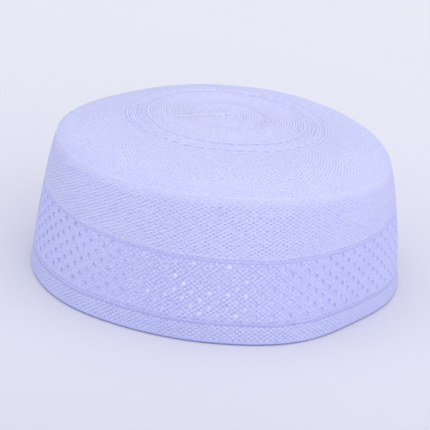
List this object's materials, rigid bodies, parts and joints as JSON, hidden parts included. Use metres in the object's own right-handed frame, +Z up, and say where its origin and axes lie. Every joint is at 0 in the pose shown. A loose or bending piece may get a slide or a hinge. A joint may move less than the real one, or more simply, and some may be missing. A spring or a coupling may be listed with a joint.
{
  "type": "prayer cap",
  "caption": "Round knitted prayer cap with a domed top, fine mesh sides, an eyelet band and a folded hem, standing open side down.",
  "frame": {"origin": "on the table under the middle of the rim's outline", "axes": "+Z up through the crown, -Y towards the front of the cap as pictured, +X to its right"},
  "size_m": [0.1858, 0.1848, 0.0807],
  "materials": {
    "hem_knit": "plain double knit, pale cool white with a violet-blue cast, matt",
    "eyelet_knit": "fine knit with staggered rows of small eyelets, matt with a soft sheen",
    "mesh_knit": "fine diamond mesh knit, matt with a soft sheen",
    "top_knit": "fine knit in concentric rounds with two rings of long open stitches, soft sheen"
  },
  "bodies": {
    "root": {"hem": "hem_knit", "band": "eyelet_knit", "crown_side": "mesh_knit", "crown_top": "top_knit"}
  },
  "joints": []
}
